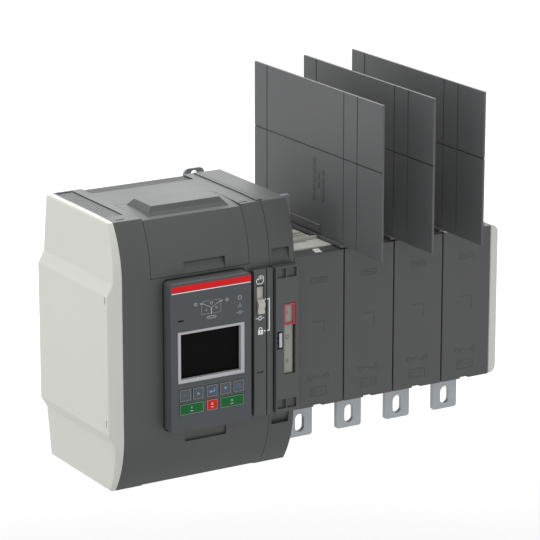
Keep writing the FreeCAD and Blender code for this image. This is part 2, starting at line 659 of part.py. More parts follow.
def selector_knob():
    """Slider plate with a thumb piece: down is automatic, up is hand."""
    x0 = KNOB_X[0] + 0.3
    x1 = KNOB_X[1] - 0.3
    z0, z1 = THUMB_Z
    front = SELECTOR_FRONT - 2.6
    plate = box(x0 - 1, x1 + 0.5, SELECTOR_FRONT + 2, SELECTOR_FRONT + 4, 20, 45.5)
    neck = box(x0, x1, SELECTOR_FRONT + 0.8, SELECTOR_FRONT + 2.5, z0, z1 + 1.5)
    # the thumb piece: a ramp above, a round nose, and a hollow below for the finger tip
    side = [(SELECTOR_FRONT + 1, z0), (front + 0.5, z0), (front + 1.3, z0 + 4.0), (front, z0 + 6.8),
            (front, z0 + 8.6), (SELECTOR_FRONT - 0.4, z1 + 1.5), (SELECTOR_FRONT + 1, z1 + 1.5)]
    thumb = prism_x(side, x0, x1)
    return join(plate, neck, thumb)


def drive_panel():
    """Cover over the position window, the padlock bar and two plug pockets."""
    x0 = PANEL_SEAM + 0.3
    x1 = MECH_RIGHT - 0.3
    panel = rounded_plate(x0, x1, DRIVE_FRONT, MECH_FRONT - 0.1, -66.0, 61.0, 1.5)
    panel = soften(panel, 0.8, lambda e: at_y(e, DRIVE_FRONT))
    inside = box(x0 + 2, x1 - 2, DRIVE_FRONT + 4.4, MECH_FRONT + 1, -50, 47)
    panel = panel.cut(inside)
    for z0, z1 in ((51.4, 59.6), (-62.6, -54.5)):
        for a, b in ((MECH_RIGHT - 21.3, MECH_RIGHT - 13.1), (MECH_RIGHT - 12.1, MECH_RIGHT - 2.8)):
            panel = panel.cut(box(a, b, DRIVE_FRONT - 1, DRIVE_FRONT + 2.4, z0, z1))
    panel = panel.cut(box(WINDOW_X[0], WINDOW_X[1], DRIVE_FRONT - 1, MECH_FRONT + 1, *WINDOW_Z))
    panel = panel.cut(box(MECH_RIGHT - 22.0, MECH_RIGHT - 16.0, DRIVE_FRONT - 1, DRIVE_FRONT + 2.2, -10.2, 5.2))
    panel = panel.cut(box(BAR_X[0] - 0.3, BAR_X[1] + 0.3, DRIVE_FRONT - 1, MECH_FRONT + 1, BAR_Z[0] - 0.3, BAR_Z[1] + 0.3))
    return panel


STRIP_X = (WINDOW_X[0] + 0.2, MECH_RIGHT - 5.1)
LEG_X = (MECH_RIGHT - 4.9, MECH_RIGHT - 4.1)
FRAME_Z = (9.8, 28.2)


def indicator_strip():
    """Light strip behind the window that carries the three position marks."""
    return box(STRIP_X[0], STRIP_X[1], DRIVE_FRONT + 2.6, DRIVE_FRONT + 3.8, WINDOW_Z[0] + 0.2, WINDOW_Z[1] - 0.2)


def indicator_frame():
    """Red frame that travels over the strip, with the leg that ties it to the plunger."""
    x0 = WINDOW_X[0] + 0.3
    x1 = LEG_X[1]
    outer = box(x0, x1, DRIVE_FRONT + 0.5, DRIVE_FRONT + 2.3, *FRAME_Z)
    outer = outer.cut(box(x0 + 1.2, x1 - 1.4, DRIVE_FRONT, DRIVE_FRONT + 3, FRAME_Z[0] + 1.3, FRAME_Z[1] - 1.3))
    leg = box(LEG_X[0], LEG_X[1], DRIVE_FRONT + 1.0, PLUNGER_Y + 4, HALF_STROKE - 4, HALF_STROKE + 4)
    return join(outer, leg)


def padlock_bar():
    """Flat steel bar that pulls out to take padlocks."""
    bar = box(BAR_X[0], BAR_X[1], DRIVE_FRONT + 0.3, -118, *BAR_Z)
    middle = (BAR_Z[0] + BAR_Z[1]) / 2
    return bar.cut(rod_x(-146.5, middle, 3.6, BAR_X[0] - 1, BAR_X[1] + 1))


def plunger():
    """Steel rod that both solenoids pull, with the cross pin that turns the crank."""
    half = 79.0
    rod = rod_z(PLUNGER_X, PLUNGER_Y, 4.0, HALF_STROKE - half, HALF_STROKE + half)
    pin = rod_x(PLUNGER_Y, HALF_STROKE, 2.5, PLUNGER_X, LEG_X[0])
    return join(rod, pin)


COIL_Z = (50.0, 90.0)


def solenoid_coils():
    coils = []
    for s in (-1, 1):
        z0, z1 = sorted((s * COIL_Z[0], s * COIL_Z[1]))
        coil = rod_z(PLUNGER_X, PLUNGER_Y, 14.0, z0, z1)
        coils.append(coil.cut(rod_z(PLUNGER_X, PLUNGER_Y, 4.6, z0 - 1, z1 + 1)))
    return Part.makeCompound(coils)


def solenoid_yokes():
    yokes = []
    for s in (-1, 1):
        z0, z1 = sorted((s * (COIL_Z[0] - 3), s * (COIL_Z[1] + 3)))
        i0, i1 = sorted((s * COIL_Z[0], s * COIL_Z[1]))
        yoke = box(PLATE_X[1], PLUNGER_X + 15, PLUNGER_Y - 15, PLUNGER_Y + 15, z0, z1)
        yoke = yoke.cut(box(PLATE_X[1] + 2, PLUNGER_X + 16, PLUNGER_Y - 16, PLUNGER_Y + 16, i0, i1))
        yokes.append(yoke.cut(rod_z(PLUNGER_X, PLUNGER_Y, 4.6, z0 - 1, z1 + 1)))
    return Part.makeCompound(yokes)


def drive_chassis():
    """Bent steel plate that carries the solenoids and the shaft's left bearing."""
    side = box(PLATE_X[0], PLATE_X[1], -132, MECH_BACK - 3, -98, 98)
    back = box(PLATE_X[0], MECH_RIGHT - WALL - 1, MECH_BACK - 5, MECH_BACK - 3, -98, 98)
    chassis = join(side, back)
    return chassis.cut(rod_x(SHAFT_Y, SHAFT_Z, BUSH_R, PLATE_X[0] - 1, PLATE_X[1] + 1))


# ---- Electronics ----
BOARD_X = (MECH_LEFT + 8, PLATE_X[0] - 6)


def control_board():
    """Circuit board behind the operator panel, with its main packages."""
    x0, x1 = BOARD_X
    board = box(x0, x1, -118, -116.4, -98, 60)
    chips = [box(x0 + 14 + 24 * i, x0 + 30 + 24 * i, -120.4, -117.9, -60, -44) for i in range(4)]
    plug = box(x0 + 30, x0 + 70, -126, -117.9, 10, 22)
    return join(board, plug, *chips)


def power_board():
    """Supply board at the back, with a transformer and two relays."""
    x0, x1 = BOARD_X
    board = box(x0, x1, -46, -44.4, -100, 60)
    core = box(x0 + 10, x0 + 52, -82, -45.9, -92, -48)
    relays = [box(x0 + 66, x0 + 84, -64, -45.9, z, z + 28) for z in (-90, -56)]
    return join(board, core, *relays)


def power_capacitors():
    x0 = BOARD_X[0]
    cans = [rod_y(x0 + 18 + 27 * i, 12, 11, -88, -46.1) for i in range(3)]
    return Part.makeCompound(cans)


# ---- Operator panel ----
SCREEN_X = (MECH_RIGHT - 115.3, MECH_RIGHT - 58.6)
SCREEN_Z = (-20.2, 18.4)
SKIRT_T = 0.8               # the screen frame's skirt through the panel's front wall
FRAME_X = (MECH_RIGHT - 117.8, MECH_RIGHT - 55.0)
FRAME_Z2 = (-23.6, 20.4)
KEY_ROWS = [
    (-39.3, -28.7, [("escape", -116.9, -106.0), ("up", -104.4, -94.1), ("enter", -91.6, -80.9),
                    ("down", -78.9, -68.0), ("menu", -66.1, -55.6)]),
    (-51.1, -41.3, [("source_one", -116.9, -94.0), ("off", -91.5, -80.7), ("source_two", -78.7, -55.9)]),
]
KEY_PROUD = 0.5
KEY_GAP = 0.25


def panel_bezel():
    """Front shell of the operator panel, with the screen opening and the key holes."""
    front = rounded_plate(HMI_LEFT, HMI_RIGHT, HMI_FRONT, HMI_BACK, HMI_BOTTOM, HMI_TOP, HMI_CORNER_R)
    front = soften(front, 0.9, lambda e: at_y(e, HMI_FRONT))
    front = front.cut(rounded_plate(HMI_LEFT + 2, HMI_RIGHT - 2, HMI_FRONT + 3, HMI_BACK + 1,
                                    HMI_BOTTOM + 2, HMI_TOP - 2, 2.0))
    front = front.cut(box(FRAME_X[0] - 0.1, FRAME_X[1] + 0.1, HMI_FRONT - 1, HMI_FRONT + 1.2,
                          FRAME_Z2[0] - 0.1, FRAME_Z2[1] + 0.1))
    front = front.cut(box(SCREEN_X[0] - SKIRT_T, SCREEN_X[1] + SKIRT_T, HMI_FRONT - 1, HMI_FRONT + 4,
                          SCREEN_Z[0] - SKIRT_T, SCREEN_Z[1] + SKIRT_T))
    for z0, z1, keys in KEY_ROWS:
        for _, x0, x1 in keys:
            front = front.cut(box(MECH_RIGHT + x0, MECH_RIGHT + x1, HMI_FRONT - 1, HMI_FRONT + 4, z0, z1))
    return front.cut(box(MECH_RIGHT - 117.5, MECH_RIGHT - 112.2, HMI_FRONT - 1, HMI_FRONT + 4, 29.2, 30.6))


def panel_keys():
    """Keys by name: caps that stand a little proud, each with a retaining flange behind."""
    keys = {}
    for z0, z1, row in KEY_ROWS:
        for name, x0, x1 in row:
            a = MECH_RIGHT + x0 + KEY_GAP
            b = MECH_RIGHT + x1 - KEY_GAP
            cap = rounded_plate(a, b, HMI_FRONT - KEY_PROUD, HMI_FRONT + 3.6, z0 + KEY_GAP, z1 - KEY_GAP, 0.8)
            cap = soften(cap, 0.3, lambda e: at_y(e, HMI_FRONT - KEY_PROUD))
            flange = box(a - 0.8, b + 0.8, HMI_FRONT + 3.2, HMI_FRONT + 4.2, z0 - 0.5, z1 + 0.5)
            keys[name] = join(cap, flange)
    return keys


def display_frame():
    """Silver frame around the screen, with a skirt that goes back to the glass."""
    frame = box(*FRAME_X, HMI_FRONT - 0.5, HMI_FRONT + 1.1, *FRAME_Z2)
    frame = bevel(frame, 0.35, lambda e: at_y(e, HMI_FRONT - 0.5))
    gap = 0.05
    skirt = box(SCREEN_X[0] - SKIRT_T + gap, SCREEN_X[1] + SKIRT_T - gap, HMI_FRONT, HMI_FRONT + 2.9,
                SCREEN_Z[0] - SKIRT_T + gap, SCREEN_Z[1] + SKIRT_T - gap)
    opening = box(SCREEN_X[0], SCREEN_X[1], HMI_FRONT - 2, HMI_FRONT + 4, *SCREEN_Z)
    return join(frame, skirt).cut(opening)


def display_glass():
    return box(SCREEN_X[0] - 2, SCREEN_X[1] + 2, HMI_FRONT + 3.05, HMI_FRONT + 4.6, SCREEN_Z[0] - 2, SCREEN_Z[1] + 2)


def panel_board():
    """Circuit board behind the keys and the screen."""
    return box(HMI_LEFT + 4, HMI_RIGHT - 4, HMI_FRONT + 5.6, HMI_FRONT + 7.2, HMI_BOTTOM + 4, HMI_TOP - 4)


def panel_rear_case():
    """Back of the operator panel, with the plug block that seats in the housing."""
    lid = box(HMI_LEFT + 2.2, HMI_RIGHT - 2.2, HMI_BACK - 2.2, HMI_BACK, HMI_BOTTOM + 2.2, HMI_TOP - 2.2)
    lid = soften(lid, 1.8, lambda e: along(e, "y"))
    block = box(HMI_LEFT + 10, HMI_RIGHT - 10, HMI_BACK - 1, MECH_FRONT + 12, HMI_BOTTOM + 12, HMI_TOP - 14)
    return join(lid, block)


# ---- Phase barriers ----
RAIL_HALF = 3.4             # the rail that rests on the pole covers
RAIL_Z = (65.9, 68.4)
BAND_Z = (70.3, 77.4)       # the stiffening band above it
BAND_FRONT = -109.0


def phase_barrier(x):
    """Plate between two phases, with break-off grooves and a thicker foot."""
    plate = box(x - BARRIER_T / 2, x + BARRIER_T / 2, BARRIER_FRONT, 0, BARRIER_BOTTOM, BARRIER_TOP)
    for side in (-1, 1):
        face = x + side * BARRIER_T / 2
        g0 = min(face, face - side * 0.5)
        g1 = max(face, face - side * 0.5)
        for y in BARRIER_BREAKS_Y:
            plate = plate.cut(box(g0, g1, y - 0.6, y + 0.6, RAIL_Z[1], BARRIER_TOP + 1))
        plate = plate.cut(box(g0, g1, BARRIER_FRONT - 1, 1, BARRIER_BREAK_Z - 0.6, BARRIER_BREAK_Z + 0.6))
    foot = box(x - BARRIER_T / 2, x + BARRIER_T / 2, POLE_FRONT + 4, -6, FOOT_Z + 0.6, BARRIER_BOTTOM + 1)
    rail = box(x - RAIL_HALF, x + RAIL_HALF, COVER_FRONT + 0.6, -6, RAIL_Z[0], RAIL_Z[1])
    band = box(x - BARRIER_T / 2 - 0.8, x + BARRIER_T / 2 + 0.8, BAND_FRONT, -6, BAND_Z[0], BAND_Z[1])
    band = bevel(band, 0.5, lambda e: along(e, "y") and e.BoundBox.ZMin > BAND_Z[1] - 0.1)
    return join(plate, foot, rail, band)


# ---- Write one file for each node ----
os.makedirs("parts", exist_ok=True)

save("base_frame", base_frame())
save("tie_rods", tie_rods())
save("mechanism_posts", mech_posts())
rear_front = 2 * SHAFT_Y - SOURCE_ONE_Y - TERMINAL_T
load_front = SHAFT_Y - LOAD_T / 2
for i, x in enumerate(POLE_CENTRES, 1):
    save("pole_case_%d" % i, pole_case(x))
    save("pole_cover_%d" % i, pole_cover(x))
    save("source_one_terminal_%d" % i, terminal(source_outline(), x, SOURCE_ONE_Y, SOURCE_BOTTOM))
rear_row = [terminal(mirror_y(source_outline()), x, rear_front, SOURCE_BOTTOM) for x in POLE_CENTRES]
save("source_two_terminals", Part.makeCompound(rear_row))
load_row = [terminal(load_outline(), x, load_front, LOAD_TOP) for x in POLE_CENTRES]
save("load_terminals", Part.makeCompound(load_row))
for i in range(1, POLES):
    save("phase_barrier_%d" % i, phase_barrier(ROW_LEFT + PITCH * i))
save("cover_clips", cover_clips())
save("end_cap", end_cap())
save("moving_contacts", moving_contacts())
save("arc_plates", arc_plates())
save("rotor_shaft", rotor_shaft())
save("shaft_bushes", shaft_bushes())
save("crank_lever", crank_lever())
save("control_housing", control_housing())
save("vent_grilles", vent_grilles())
save("drive_housing", drive_housing())
save("side_cover", side_cover())
save("rear_plate", rear_plate())
save("module_flap", module_flap())
save("option_tray", option_tray())
save("selector_panel", selector_panel())
save("selector_knob", selector_knob())
save("drive_panel", drive_panel())
save("indicator_strip", indicator_strip())
save("indicator_frame", indicator_frame())
save("padlock_bar", padlock_bar())
save("plunger", plunger())
save("solenoid_coils", solenoid_coils())
save("solenoid_yokes", solenoid_yokes())
save("drive_chassis", drive_chassis())
save("control_board", control_board())
save("power_board", power_board())
save("power_capacitors", power_capacitors())
save("panel_bezel", panel_bezel())
save("display_frame", display_frame())
save("display_glass", display_glass())
save("panel_board", panel_board())
save("panel_rear_case", panel_rear_case())
for key_name, key_shape in panel_keys().items():
    save("key_" + key_name, key_shape)
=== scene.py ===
# %% [markdown]
# # A four-pole automatic transfer switch
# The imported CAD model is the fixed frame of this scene. It brings every housing, pole, terminal and
# key at its real size and place. The cells below give those parts their finishes, add the fine
# pieces that a CAD model leaves out, and set up a plain studio with one camera.

# %% Load the frame
import json
import math

import bpy
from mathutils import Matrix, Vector


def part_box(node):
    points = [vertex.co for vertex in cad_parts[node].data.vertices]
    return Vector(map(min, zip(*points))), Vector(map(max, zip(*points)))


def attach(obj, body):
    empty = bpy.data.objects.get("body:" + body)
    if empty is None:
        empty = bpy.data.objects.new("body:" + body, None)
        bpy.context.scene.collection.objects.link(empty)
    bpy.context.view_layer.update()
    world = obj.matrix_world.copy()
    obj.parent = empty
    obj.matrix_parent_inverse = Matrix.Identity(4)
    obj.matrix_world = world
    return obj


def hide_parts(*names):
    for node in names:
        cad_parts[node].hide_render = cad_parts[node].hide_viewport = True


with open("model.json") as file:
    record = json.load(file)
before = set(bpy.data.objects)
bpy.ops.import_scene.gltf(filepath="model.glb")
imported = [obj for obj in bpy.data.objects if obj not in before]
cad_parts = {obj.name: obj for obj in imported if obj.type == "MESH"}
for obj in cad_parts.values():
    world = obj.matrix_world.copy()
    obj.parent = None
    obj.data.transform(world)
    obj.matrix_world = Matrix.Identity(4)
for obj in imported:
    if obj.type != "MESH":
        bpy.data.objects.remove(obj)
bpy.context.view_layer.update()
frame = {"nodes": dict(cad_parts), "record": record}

nodes = frame["nodes"]
MM = 0.001


def box_mm(node):
    """Lowest and highest corners of a CAD node, in millimetres."""
    low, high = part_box(node)
    return [c / MM for c in low], [c / MM for c in high]


# %% [markdown]
# ## Camera
# The switch is seen from its upper left with a long lens, so that its upright edges stay almost
# parallel. The camera is a point, a compass heading and a tilt, in the frame's own metres.

# %% Camera
def look_from(place, heading_deg, tilt_deg, lens_mm, shift):
    data = bpy.data.cameras.new("studio_camera")
    data.lens = lens_mm
    data.sensor_width = 36.0
    data.shift_x, data.shift_y = shift
    data.clip_end = 50.0
    camera = bpy.data.objects.new("studio_camera", data)
    camera.location = place
    camera.rotation_euler = (math.radians(90 + tilt_deg), 0.0, math.radians(-heading_deg))
    bpy.context.scene.collection.objects.link(camera)
    bpy.context.scene.camera = camera
    return camera


camera = look_from((-1.3387, -2.2014, 0.7372), 30.78, -15.88, 200.0, (0.0053, 0.0012))
print("camera is", round(camera.location.length, 2), "m from the mounting plate's centre")


# %% [markdown]
# ## Studio
# Shots like this use a white cove, a broad light overhead, another behind and a weak one at the left.
# The top faces then go pale, because they are seen at a low angle and mirror the cove behind, and the
# fronts stay dark. The floor lies well under the switch, so no shadow of it shows.

# %% Floor, world and lights
FLOOR_Z = -0.62
FLOOR_HALF = 12.0
FLOOR_GREY = (0.44, 0.44, 0.44, 1)
GLOW_FROM, GLOW_TO = 0.7, 2.2       # metres from the switch over which the cove's glow comes up
GLOW = 0.6


def plain_floor():
    h = FLOOR_HALF
    corners = [(-h, -h, FLOOR_Z), (h, -h, FLOOR_Z), (h, h, FLOOR_Z), (-h, h, FLOOR_Z)]
    mesh = bpy.data.meshes.new("studio_floor")
    mesh.from_pydata(corners, [], [(0, 1, 2, 3)])
    floor = bpy.data.objects.new("studio_floor", mesh)
    bpy.context.scene.collection.objects.link(floor)
    material = bpy.data.materials.new("studio_white")
    material.use_nodes = True
    tree = material.node_tree
    shader = tree.nodes["Principled BSDF"]
    shader.inputs["Base Color"].default_value = FLOOR_GREY
    shader.inputs["Roughness"].default_value = 1.0
    shader.inputs["Specular IOR Level"].default_value = 0.0
    # the cove glows a little further out, so that it stays white beyond the reach of the lights
    shader.inputs["Emission Color"].default_value = (1, 1, 1, 1)
    place = tree.nodes.new("ShaderNodeTexCoord")
    away = tree.nodes.new("ShaderNodeVectorMath")
    away.operation = "LENGTH"
    glow = tree.nodes.new("ShaderNodeMapRange")
    glow.inputs["From Min"].default_value = GLOW_FROM
    glow.inputs["From Max"].default_value = GLOW_TO
    glow.inputs["To Max"].default_value = GLOW
    tree.links.new(place.outputs["Object"], away.inputs[0])
    tree.links.new(away.outputs["Value"], glow.inputs["Value"])
    tree.links.new(glow.outputs["Result"], shader.inputs["Emission Strength"])
    mesh.materials.append(material)


def soft_light(name, place, aim, size, power):
    data = bpy.data.lights.new(name, "AREA")
    data.shape = "RECTANGLE"
    data.size, data.size_y = size
    data.energy = power
    light = bpy.data.objects.new(name, data)
    light.location = place
    light.rotation_euler = (Vector(aim) - Vector(place)).to_track_quat("-Z", "Y").to_euler()
    bpy.context.scene.collection.objects.link(light)
    return light


def white_world(strength):
    world = bpy.data.worlds.new("studio_world")
    world.use_nodes = True
    background = world.node_tree.nodes["Background"]
    background.inputs["Color"].default_value = (1.0, 1.0, 1.0, 1)
    background.inputs["Strength"].default_value = strength
    bpy.context.scene.world = world


plain_floor()
white_world(1.0)
soft_light("overhead_light", (0.3, 0.9, 2.6), (0, -0.05, 0), (3.4, 2.6), 84.0)
soft_light("back_light", (1.55, 2.6, 1.0), (0, 0, 0.05), (3.4, 1.7), 20.0)
soft_light("left_light", (-2.6, 0.1, 0.5), (-0.2, -0.05, 0.05), (1.6, 1.6), 6.0)
bpy.context.scene.view_settings.view_transform = "Standard"
print("studio: floor at", FLOOR_Z, "m,", len(bpy.data.lights), "lights")


# %% [markdown]
# ## How a finish is made
# Each finish is a small node tree on Object coordinates, so a pattern keeps its real scale and stays
# put on the part. Two layers do most of the work on moulded plastic: a slow noise that shifts the
# tone and the gloss by a few percent, and a very fine one that stands for the eroded steel of the
# mould. A bevel node rounds the light on edges that are too small to model.

# %% Shader helpers
def srgb(r, g, b):
    """A colour picked on an 8-bit screen, as the linear values that a shader wants."""
    def linear(c):
        c /= 255.0
        return c / 12.92 if c <= 0.04045 else ((c + 0.055) / 1.055) ** 2.4
    return (linear(r), linear(g), linear(b), 1.0)


def wire(tree, out, into):
    tree.links.new(out, into)


def fresh(name):
    """A new material with its tree, its shader and its object coordinates."""
    material = bpy.data.materials.new(name)
    material.use_nodes = True
    tree = material.node_tree
    place = tree.nodes.new("ShaderNodeTexCoord")
    return material, tree, tree.nodes["Principled BSDF"], place.outputs["Object"]


def noise(tree, place, scale, detail=2.0, stretch=None):
    """Noise at so many cells per metre, drawn out along an axis where stretch says so."""
    cloud = tree.nodes.new("ShaderNodeTexNoise")
    cloud.inputs["Scale"].default_value = scale
    cloud.inputs["Detail"].default_value = detail
    if stretch:
        mapping = tree.nodes.new("ShaderNodeMapping")
        mapping.inputs["Scale"].default_value = stretch
        wire(tree, place, mapping.inputs["Vector"])
        place = mapping.outputs["Vector"]
    wire(tree, place, cloud.inputs["Vector"])
    return cloud.outputs["Fac"]


def tone(tree, fac, colour, spread, into):
    """Colour that drifts between a little darker and a little lighter."""
    ramp = tree.nodes.new("ShaderNodeValToRGB")
    ramp.color_ramp.elements[0].position = 0.3
    ramp.color_ramp.elements[1].position = 0.72
    ramp.color_ramp.elements[0].color = [c * (1 - spread) for c in colour[:3]] + [1]
    ramp.color_ramp.elements[1].color = [min(1, c * (1 + spread)) for c in colour[:3]] + [1]
    wire(tree, fac, ramp.inputs["Fac"])
    wire(tree, ramp.outputs["Color"], into)


def gloss(tree, fac, low, high, shader):
    spread = tree.nodes.new("ShaderNodeMapRange")
    spread.inputs["From Min"].default_value = 0.3
    spread.inputs["From Max"].default_value = 0.7
    spread.inputs["To Min"].default_value = low
    spread.inputs["To Max"].default_value = high
    wire(tree, fac, spread.inputs["Value"])
    wire(tree, spread.outputs["Result"], shader.inputs["Roughness"])


def relief(tree, fac, strength, depth_mm, shader, round_mm):
    """Fine bumps, over edges that the bevel node rounds."""
    bump = tree.nodes.new("ShaderNodeBump")
    bump.inputs["Strength"].default_value = strength
    bump.inputs["Distance"].default_value = depth_mm * MM
    wire(tree, fac, bump.inputs["Height"])
    if round_mm:
        edge = tree.nodes.new("ShaderNodeBevel")
        edge.samples = 4
        edge.inputs["Radius"].default_value = round_mm * MM
        wire(tree, edge.outputs["Normal"], bump.inputs["Normal"])
    wire(tree, bump.outputs["Normal"], shader.inputs["Normal"])


# %% [markdown]
# Most of the switch is moulded plastic. Its gloss could be one number, but a real moulding is never
# quite even, so the roughness follows the same slow noise as the tone.

# %% Moulded plastic
def moulded(name, colour, rough=0.5, grain=0.12, specular=0.5, round_mm=0.4, spread=0.05):
    material, tree, shader, place = fresh(name)
    shader.inputs["IOR"].default_value = 1.5
    shader.inputs["Specular IOR Level"].default_value = specular
    cloud = noise(tree, place, 16.0, 4.0)
    tone(tree, cloud, colour, spread, shader.inputs["Base Color"])
    gloss(tree, cloud, rough - 0.04, rough + 0.04, shader)
    relief(tree, noise(tree, place, 1500.0), grain, 0.03, shader, round_mm)
    return material


def two_tone(name, face, rim, split_mm, **more):
    """Moulded plastic that is one colour in front of an upright plane and another behind it."""
    material = moulded(name, face, **more)
    tree = material.node_tree
    shader = tree.nodes["Principled BSDF"]
    ramp = shader.inputs["Base Color"].links[0].from_socket
    place = next(n for n in tree.nodes if n.type == "TEX_COORD").outputs["Object"]
    axes = tree.nodes.new("ShaderNodeSeparateXYZ")
    wire(tree, place, axes.inputs["Vector"])
    behind = tree.nodes.new("ShaderNodeMath")
    behind.operation = "GREATER_THAN"
    behind.inputs[1].default_value = split_mm * MM
    wire(tree, axes.outputs["Y"], behind.inputs[0])
    mix = tree.nodes.new("ShaderNodeMix")
    mix.data_type = "RGBA"
    wire(tree, behind.outputs["Value"], mix.inputs[0])
    wire(tree, ramp, mix.inputs[6])
    mix.inputs[7].default_value = rim
    wire(tree, mix.outputs[2], shader.inputs["Base Color"])
    return material


# %% [markdown]
# Metal parts here are stamped from strip and then plated. Rolling leaves faint lines along the strip,
# so their noise is stretched upright; zinc shows a soft spangle, which a Voronoi cell pattern gives.

# %% Plated metal
def plated(name, colour, rough=0.35, lines=(60.0, 60.0, 4.0), spangle=0.0, spread=0.08, metallic=1.0):
    material, tree, shader, place = fresh(name)
    shader.inputs["Metallic"].default_value = metallic
    streak = noise(tree, place, 20.0, 3.0, lines)
    fac = streak
    if spangle:
        cells = tree.nodes.new("ShaderNodeTexVoronoi")
        cells.inputs["Scale"].default_value = 160.0
        wire(tree, place, cells.inputs["Vector"])
        mix = tree.nodes.new("ShaderNodeMix")
        mix.inputs["Factor"].default_value = spangle
        wire(tree, streak, mix.inputs["A"])
        wire(tree, cells.outputs["Distance"], mix.inputs["B"])
        fac = mix.outputs["Result"]
    tone(tree, fac, colour, spread, shader.inputs["Base Color"])
    gloss(tree, fac, rough - 0.06, rough + 0.08, shader)
    relief(tree, streak, 0.15, 0.02, shader, 0.25)
    return material


# %% [markdown]
# ## The palette
# One finish for each material slot of the model. The dark shells, pole covers and barriers are the
# same charcoal plastic in slightly different textures; the cream parts are a warmer, smoother one.

# %% Palette
CHARCOAL = srgb(66, 68, 68)
finish = {
    "dark_plastic": moulded("dark_plastic", CHARCOAL, 0.42),
    "pole_cover_plastic": moulded("pole_cover_plastic", srgb(66, 67, 67), 0.42, grain=0.16),
    "barrier_plastic": moulded("barrier_plastic", srgb(82, 83, 84), 0.5, grain=0.2, specular=0.42),
    "flap_plastic": moulded("flap_plastic", CHARCOAL, 0.42),
    "grille_plastic": moulded("grille_plastic", srgb(84, 86, 86), 0.44),
    "inner_plastic": moulded("inner_plastic", srgb(26, 27, 28), 0.5),
    "cream_plastic": moulded("cream_plastic", srgb(190, 190, 184), 0.38, grain=0.08, round_mm=0.9,
                             spread=0.02),
    "panel_plastic": two_tone("panel_plastic", srgb(58, 63, 67), srgb(78, 80, 80),
                              box_mm("panel_bezel")[0][1] + 0.5, rough=0.36, grain=0.08),
    "key_grey": moulded("key_grey", srgb(60, 66, 71), 0.4, grain=0.05),
    "key_green": moulded("key_green", srgb(8, 90, 38), 0.5, grain=0.05, specular=0.2),
    "key_red": moulded("key_red", srgb(180, 28, 20), 0.5, grain=0.05, specular=0.2),
    "knob_grey": moulded("knob_grey", srgb(176, 174, 168), 0.4),
    "strip_grey": moulded("strip_grey", srgb(140, 140, 132), 0.4),
    "indicator_red": moulded("indicator_red", srgb(178, 46, 68), 0.3, grain=0.03),
    "clip_white": moulded("clip_white", srgb(208, 208, 203), 0.4),
    "screen_glass": moulded("screen_glass", srgb(8, 8, 8), 0.5, grain=0.02, specular=0.05, round_mm=0),
    "screen_frame": moulded("screen_frame", srgb(164, 164, 170), 0.34, grain=0.03),
    "rotor_plastic": moulded("rotor_plastic", srgb(90, 80, 70), 0.5),
    "coil_tape": moulded("coil_tape", srgb(190, 150, 60), 0.4),
    "circuit_board": moulded("circuit_board", srgb(20, 96, 60), 0.35),
    "capacitor_sleeve": moulded("capacitor_sleeve", srgb(30, 34, 54), 0.3),
    "galvanised_steel": plated("galvanised_steel", srgb(170, 173, 177), 0.42, spangle=0.6, metallic=0.5),
    "zinc_hardware": plated("zinc_hardware", srgb(165, 168, 170), 0.3),
    "machined_steel": plated("machined_steel", srgb(170, 172, 176), 0.28),
    "tinned_copper": plated("tinned_copper", srgb(158, 164, 169), 0.45, metallic=0.45),
    "contact_copper": plated("contact_copper", srgb(190, 116, 84), 0.3),
    "bushing_bronze": plated("bushing_bronze", srgb(170, 138, 84), 0.32),
    # printing inks, for the marks that are added below
    "ink_white": moulded("ink_white", srgb(226, 228, 230), 0.5, grain=0.02, round_mm=0, spread=0.02),
    "ink_pale": moulded("ink_pale", srgb(150, 156, 160), 0.5, grain=0.02, round_mm=0, spread=0.03),
    "ink_outline": moulded("ink_outline", srgb(122, 130, 134), 0.5, grain=0.02, round_mm=0, spread=0.03),
    "ink_red": moulded("ink_red", srgb(206, 10, 16), 0.5, grain=0.02, specular=0.2, round_mm=0, spread=0.02),
    "ink_blue": moulded("ink_blue", srgb(104, 148, 206), 0.5, grain=0.02, round_mm=0, spread=0.03),
    "ink_dim_blue": moulded("ink_dim_blue", srgb(80, 98, 128), 0.5, grain=0.02, round_mm=0, spread=0.03),
    "ink_key": moulded("ink_key", srgb(196, 200, 198), 0.5, grain=0.02, round_mm=0, spread=0.02),
    "barrier_notice": moulded("barrier_notice", srgb(64, 65, 66), 0.5),
    "ink_dark": moulded("ink_dark", srgb(72, 72, 70), 0.5, grain=0.02, round_mm=0, spread=0.03),
}
slot_of = {part["node"]: part["material_slot"] for part in frame["record"]["subparts"]}
for name, node in nodes.items():
    node.data.materials.clear()
    node.data.materials.append(finish[slot_of[name]])
print(len(nodes), "CAD nodes dressed in", len(set(slot_of.values())), "finishes")


# %% [markdown]
# ## Flat outlines
# Marks, frames and inlays are all drawn the same way: lines of an even width with mitred corners,
# and small filled patches, laid out in millimetres on the face they belong to. Solidify then gives
# the flat drawing its real thickness, and a small bevel takes the sharpness off thicker ones.

# %% Drawing in the plane
def line(points, width, closed=False):
    """A line of even width as a strip of four-sided faces."""
    points = [Vector(p) for p in points]
    count = len(points)
    sides = []
    for i, here in enumerate(points):
        before = points[i - 1] if i or closed else None
        after = points[(i + 1) % count] if i + 1 < count or closed else None
        pairs = ((before, here), (here, after))
        ways = [(b - a).normalized() for a, b in pairs if a is not None and b is not None]
        normals = [Vector((-w.y, w.x)) for w in ways]
        mitre = sum(normals, Vector((0, 0))).normalized()
        reach = width / 2 / max(0.35, mitre.dot(normals[0]))
        sides += [here + mitre * reach, here - mitre * reach]
    faces = []
    for i in range(count if closed else count - 1):
        a = 2 * i
        b = 2 * ((i + 1) % count)
        faces.append((a, a + 1, b + 1, b))
    return [tuple(p) for p in sides], faces


def patch(points):
    return [tuple(p) for p in points], [tuple(range(len(points)))]


